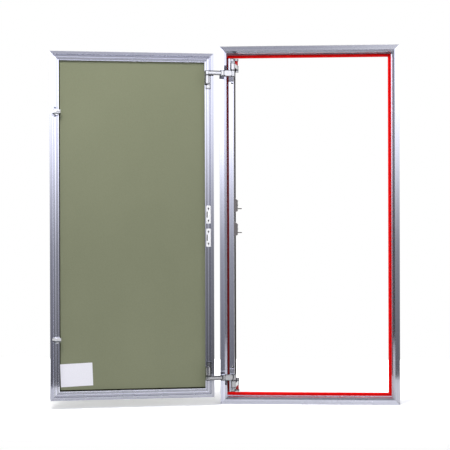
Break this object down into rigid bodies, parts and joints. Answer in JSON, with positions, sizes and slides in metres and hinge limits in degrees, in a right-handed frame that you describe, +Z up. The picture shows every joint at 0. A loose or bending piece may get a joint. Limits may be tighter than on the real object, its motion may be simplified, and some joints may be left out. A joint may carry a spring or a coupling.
{
  "type": "access panel",
  "caption": "Flush access panel: mitred aluminium frame with a red rubber seal and a board-filled leaf on folding-arm hinges.",
  "frame": {"origin": "middle of the sill's underside, where the frame stands in the wall opening", "axes": "+X from the hinge jamb to the latch jamb, -Y out of the wall to the room, +Z up"},
  "size_m": [0.7658, 0.1915, 0.8],
  "materials": {
    "frame_aluminium": "mill, drawn lengthways",
    "leaf_aluminium": "mill, drawn lengthways",
    "seal_rubber": "satin red",
    "board_facing": "matt grey-green board paper",
    "hinge_steel": "zinc plated",
    "pin_steel": "zinc plated",
    "bush_plastic": "moulded red",
    "catch_steel": "bright zinc"
  },
  "bodies": {
    "frame": {"frame_sill": "frame_aluminium", "frame_head": "frame_aluminium", "frame_hinge_jamb": "frame_aluminium", "frame_latch_jamb": "frame_aluminium", "hinge_bar": "frame_aluminium", "seal_sill": "seal_rubber", "seal_head": "seal_rubber", "seal_latch_side": "seal_rubber", "seal_hinge_side": "seal_rubber", "lower_hinge_frame_bracket": "hinge_steel", "upper_hinge_frame_bracket": "hinge_steel", "lower_hinge_bush": "bush_plastic", "upper_hinge_bush": "bush_plastic", "lower_hinge_frame_pin": "pin_steel", "upper_hinge_frame_pin": "pin_steel", "upper_catch_body": "catch_steel", "lower_catch_body": "catch_steel"},
    "main_arms": {"lower_hinge_main_arm": "hinge_steel", "upper_hinge_main_arm": "hinge_steel", "lower_hinge_knuckle_pin": "pin_steel", "upper_hinge_knuckle_pin": "pin_steel"},
    "short_arms": {"lower_hinge_short_arm": "hinge_steel", "upper_hinge_short_arm": "hinge_steel"},
    "leaf": {"leaf_bottom_rail": "leaf_aluminium", "leaf_top_rail": "leaf_aluminium", "leaf_hinge_stile": "leaf_aluminium", "leaf_latch_stile": "leaf_aluminium", "plasterboard": "board_facing", "lower_hinge_leaf_bracket": "hinge_steel", "upper_hinge_leaf_bracket": "hinge_steel", "lower_hinge_leaf_pin": "pin_steel", "upper_hinge_leaf_pin": "pin_steel", "upper_catch_plate": "catch_steel", "lower_catch_plate": "catch_steel", "upper_latch_hook": "catch_steel", "lower_latch_hook": "catch_steel"}
  },
  "joints": [
    {"name": "main_arm_swing", "type": "hinge", "parent": "frame", "child": "main_arms", "pos_m": [-0.164, 0.017, 0.4], "axis": [0, 0, 1], "range_deg": [-0.5, 119.39]},
    {"name": "knuckle_fold", "type": "hinge", "parent": "main_arms", "child": "short_arms", "pos_m": [-0.16894, -0.04079, 0.4], "axis": [0, 0, -1], "range_deg": [0, 114.6]},
    {"name": "leaf_swing", "type": "hinge", "parent": "short_arms", "child": "leaf", "pos_m": [-0.22384, -0.06434, 0.4], "axis": [0, 0, 1], "range_deg": [-0.5, 163.21]}
  ],
  "couplings": [
    {"joint": "main_arm_swing", "follows": "knuckle_fold", "ratio": 1.0374},
    {"joint": "leaf_swing", "follows": "knuckle_fold", "ratio": 1.4198}
  ]
}
